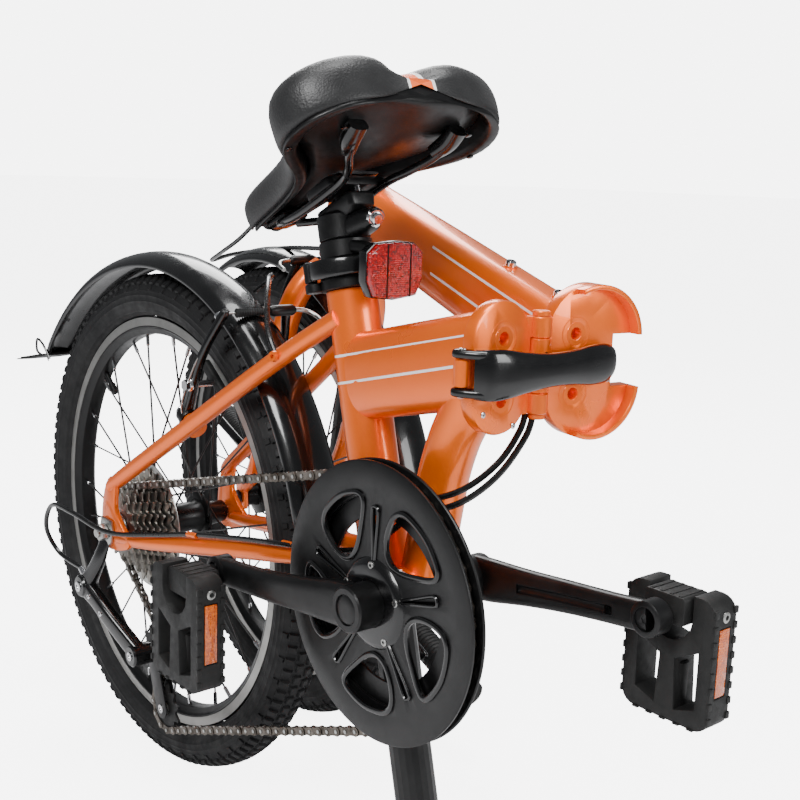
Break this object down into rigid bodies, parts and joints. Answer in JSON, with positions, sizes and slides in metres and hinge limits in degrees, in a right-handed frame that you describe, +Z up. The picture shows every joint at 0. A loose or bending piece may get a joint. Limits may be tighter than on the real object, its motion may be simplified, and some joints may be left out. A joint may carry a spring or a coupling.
{
  "type": "folding bicycle",
  "caption": "Orange folding bicycle in its folded pose, standing on its rear wheel and lowered seatpost, with folding frame, handlepost and pedals.",
  "frame": {"origin": "on the floor under the rear axle, in the middle plane of the rear wheel", "axes": "+X from the rear axle to the bottom bracket, +Y to the rider's left, +Z up"},
  "size_m": [0.9574, 0.4222, 0.6909],
  "materials": {
    "frame_paint": "glossy metallic orange paint",
    "black_alloy": "satin black",
    "black_plastic": "satin moulded black",
    "fender_plastic": "glossy black",
    "tyre": "matt black rubber with knobs",
    "rim_alloy": "black rim with machined brake track",
    "steel": "zinc plated",
    "hub_metal": "dark hub and spokes",
    "chain_steel": "brown-grey oiled steel",
    "saddle_vinyl": "grained black vinyl",
    "red_lens": "clear red reflector",
    "bar_metal": "black bar with rubber grips"
  },
  "bodies": {
    "rear_frame": {"seat_tube": "frame_paint", "bottom_bracket_shell": "frame_paint", "rear_main_tube": "frame_paint", "rear_hinge_plate": "frame_paint", "hinge_pin": "steel", "lower_strut": "frame_paint", "chainstay_right": "frame_paint", "chainstay_left": "frame_paint", "seatstay_right": "frame_paint", "seatstay_left": "frame_paint", "rear_fender": "fender_plastic", "rear_axle": "steel", "chain": "chain_steel", "seat_clamp": "black_alloy", "derailleur_body": "black_alloy", "derailleur_cage": "black_alloy"},
    "seat_lever": {"seat_clamp_lever": "black_alloy"},
    "seatpost": {"seatpost": "black_alloy", "seatpost_foot": "black_plastic"},
    "saddle_head": {"saddle_clamp": "black_alloy", "rear_reflector": "red_lens"},
    "saddle": {"saddle_rails": "black_alloy", "saddle_shell": "black_plastic", "saddle_cover": "saddle_vinyl"},
    "rear_wheel": {"rear_tyre": "tyre", "rear_rim": "rim_alloy", "rear_hub": "hub_metal"},
    "freewheel": {"freewheel": "chain_steel"},
    "jockey_upper": {"jockey_wheel_upper": "black_plastic"},
    "jockey_lower": {"jockey_wheel_lower": "black_plastic"},
    "rear_brake_right": {"rear_brake_arm_right": "black_alloy"},
    "rear_brake_left": {"rear_brake_arm_left": "black_alloy"},
    "crankset": {"crank_spindle": "steel", "chainring": "black_alloy", "chain_guard": "black_plastic", "crank_arm_right": "black_alloy", "crank_arm_left": "black_alloy"},
    "pedal_right": {"pedal_right": "black_plastic"},
    "pedal_left": {"pedal_left": "black_plastic"},
    "pedal_right_platform": {"pedal_right_platform": "black_plastic"},
    "pedal_left_platform": {"pedal_left_platform": "black_plastic"},
    "frame_latch": {"frame_latch_lever": "black_plastic"},
    "front_frame": {"front_hinge_plate": "frame_paint", "front_main_tube": "frame_paint", "head_tube": "frame_paint"},
    "fork": {"fork_steerer": "frame_paint", "fork_blade_right": "frame_paint", "fork_blade_left": "frame_paint", "front_axle": "steel", "front_fender": "fender_plastic"},
    "front_wheel": {"front_tyre": "tyre", "front_rim": "rim_alloy", "front_hub": "hub_metal"},
    "front_brake_right": {"front_brake_arm_right": "black_alloy"},
    "front_brake_left": {"front_brake_arm_left": "black_alloy"},
    "handlepost": {"handlepost_outer": "black_alloy"},
    "handlebar": {"handlepost_inner": "black_alloy", "handlebar": "bar_metal"},
    "brake_lever_right": {"brake_lever_right": "black_plastic"},
    "brake_lever_left": {"brake_lever_left": "black_plastic"}
  },
  "joints": [
    {"name": "seat_lever", "type": "hinge", "parent": "rear_frame", "child": "seat_lever", "pos_m": [0.27076, -0.02375, 0.50839], "axis": [0.2462, 0, -0.9692], "range_deg": [0, 100]},
    {"name": "seatpost_height", "type": "slide", "parent": "rear_frame", "child": "seatpost", "axis": [-0.2462, 0, 0.9692], "range_m": [0, 0.25]},
    {"name": "saddle_turn", "type": "hinge", "parent": "seatpost", "child": "saddle_head", "pos_m": [0.27245, 0, 0.58267], "axis": [-0.2462, 0, 0.9692], "range_deg": [0, 180]},
    {"name": "saddle_tilt", "type": "hinge", "parent": "saddle_head", "child": "saddle", "pos_m": [0.28, 0, 0.5915], "axis": [0, 1, 0], "range_deg": [-10, 10]},
    {"name": "rear_wheel_spin", "type": "hinge", "parent": "rear_frame", "child": "rear_wheel", "pos_m": [0, 0, 0.25], "axis": [0, 1, 0], "continuous": true},
    {"name": "crank_turn", "type": "hinge", "parent": "rear_frame", "child": "crankset", "pos_m": [0.3896, 0, 0.2919], "axis": [0, 1, 0], "range_deg": [-15, 110]},
    {"name": "freewheel_turn", "type": "hinge", "parent": "rear_frame", "child": "freewheel", "pos_m": [0, 0, 0.25], "axis": [0, 1, 0], "continuous": true},
    {"name": "jockey_upper_turn", "type": "hinge", "parent": "rear_frame", "child": "jockey_upper", "pos_m": [0.046, -0.0428, 0.135], "axis": [0, 1, 0], "continuous": true},
    {"name": "jockey_lower_turn", "type": "hinge", "parent": "rear_frame", "child": "jockey_lower", "pos_m": [0.066, -0.0428, 0.082], "axis": [0, 1, 0], "continuous": true},
    {"name": "pedal_right_turn", "type": "hinge", "parent": "crankset", "child": "pedal_right", "pos_m": [0.22053, -0.076, 0.27413], "axis": [0, 1, 0], "continuous": true},
    {"name": "pedal_left_turn", "type": "hinge", "parent": "crankset", "child": "pedal_left", "pos_m": [0.55867, 0.061, 0.30967], "axis": [0, 1, 0], "continuous": true},
    {"name": "pedal_right_fold", "type": "hinge", "parent": "pedal_right", "child": "pedal_right_platform", "pos_m": [0.22053, -0.112, 0.27113], "axis": [-1, 0, 0], "range_deg": [0, 90]},
    {"name": "pedal_left_fold", "type": "hinge", "parent": "pedal_left", "child": "pedal_left_platform", "pos_m": [0.55867, 0.097, 0.31467], "axis": [1, 0, 0], "range_deg": [0, 90]},
    {"name": "main_fold", "type": "hinge", "parent": "rear_frame", "child": "front_frame", "pos_m": [0.463, 0.036, 0.475], "axis": [0, 0, 1], "range_deg": [-169.5, 0]},
    {"name": "frame_latch", "type": "hinge", "parent": "rear_frame", "child": "frame_latch", "pos_m": [0.4615, -0.0375, 0.475], "axis": [0, 0, 1], "range_deg": [-102, 0]},
    {"name": "steering", "type": "hinge", "parent": "front_frame", "child": "fork", "pos_m": [0.0035, 0.15778, 0.25], "axis": [0.3038, -0.0563, 0.9511], "range_deg": [-8, 10]},
    {"name": "front_wheel_spin", "type": "hinge", "parent": "fork", "child": "front_wheel", "pos_m": [-0.0333, 0.1616, 0.24996], "axis": [-0.1033, -0.9943, -0.0259], "continuous": true},
    {"name": "handlepost_fold", "type": "hinge", "parent": "fork", "child": "handlepost", "pos_m": [0.10971, 0.16107, 0.65609], "axis": [-0.7496, -0.6377, 0.1775], "range_deg": [-176.5, 0]},
    {"name": "handlepost_height", "type": "slide", "parent": "handlepost", "child": "handlebar", "axis": [-0.3053, 0.1323, -0.943], "range_m": [-0.08, 0]},
    {"name": "brake_lever_right", "type": "hinge", "parent": "handlebar", "child": "brake_lever_right", "pos_m": [0.07306, 0.22245, 0.13626], "axis": [0.3127, 0.5528, 0.7724], "range_deg": [0, 11], "stiffness_Nm_per_rad": 2},
    {"name": "brake_lever_left", "type": "hinge", "parent": "handlebar", "child": "brake_lever_left", "pos_m": [-0.21009, 0.24928, 0.23168], "axis": [-0.3127, -0.5528, -0.7724], "range_deg": [0, 11], "stiffness_Nm_per_rad": 2},
    {"name": "rear_brake_right", "type": "hinge", "parent": "rear_frame", "child": "rear_brake_right", "pos_m": [0.103, -0.0415, 0.382], "axis": [-0.893, 0, 0.45], "range_deg": [0, 2.5], "stiffness_Nm_per_rad": 2},
    {"name": "rear_brake_left", "type": "hinge", "parent": "rear_frame", "child": "rear_brake_left", "pos_m": [0.103, 0.0415, 0.382], "axis": [0.893, 0, -0.45], "range_deg": [0, 2.5], "stiffness_Nm_per_rad": 2},
    {"name": "front_brake_right", "type": "hinge", "parent": "fork", "child": "front_brake_right", "pos_m": [0.03474, 0.19352, 0.41352], "axis": [0.9471, -0.0904, -0.3079], "range_deg": [0, 2.5], "stiffness_Nm_per_rad": 2},
    {"name": "front_brake_left", "type": "hinge", "parent": "fork", "child": "front_brake_left", "pos_m": [0.02585, 0.10801, 0.4113], "axis": [-0.9471, 0.0904, 0.3079], "range_deg": [0, 2.5], "stiffness_Nm_per_rad": 2}
  ],
  "couplings": [
    {"joint": "freewheel_turn", "follows": "crank_turn", "ratio": 2.4},
    {"joint": "jockey_upper_turn", "follows": "crank_turn", "ratio": -4.3636},
    {"joint": "jockey_lower_turn", "follows": "crank_turn", "ratio": 4.3636},
    {"joint": "frame_latch", "follows": "main_fold", "ratio": 0.6},
    {"joint": "rear_brake_right", "follows": "brake_lever_right", "ratio": 0.22727},
    {"joint": "rear_brake_left", "follows": "brake_lever_right", "ratio": 0.22727},
    {"joint": "front_brake_right", "follows": "brake_lever_left", "ratio": 0.22727},
    {"joint": "front_brake_left", "follows": "brake_lever_left", "ratio": 0.22727}
  ]
}
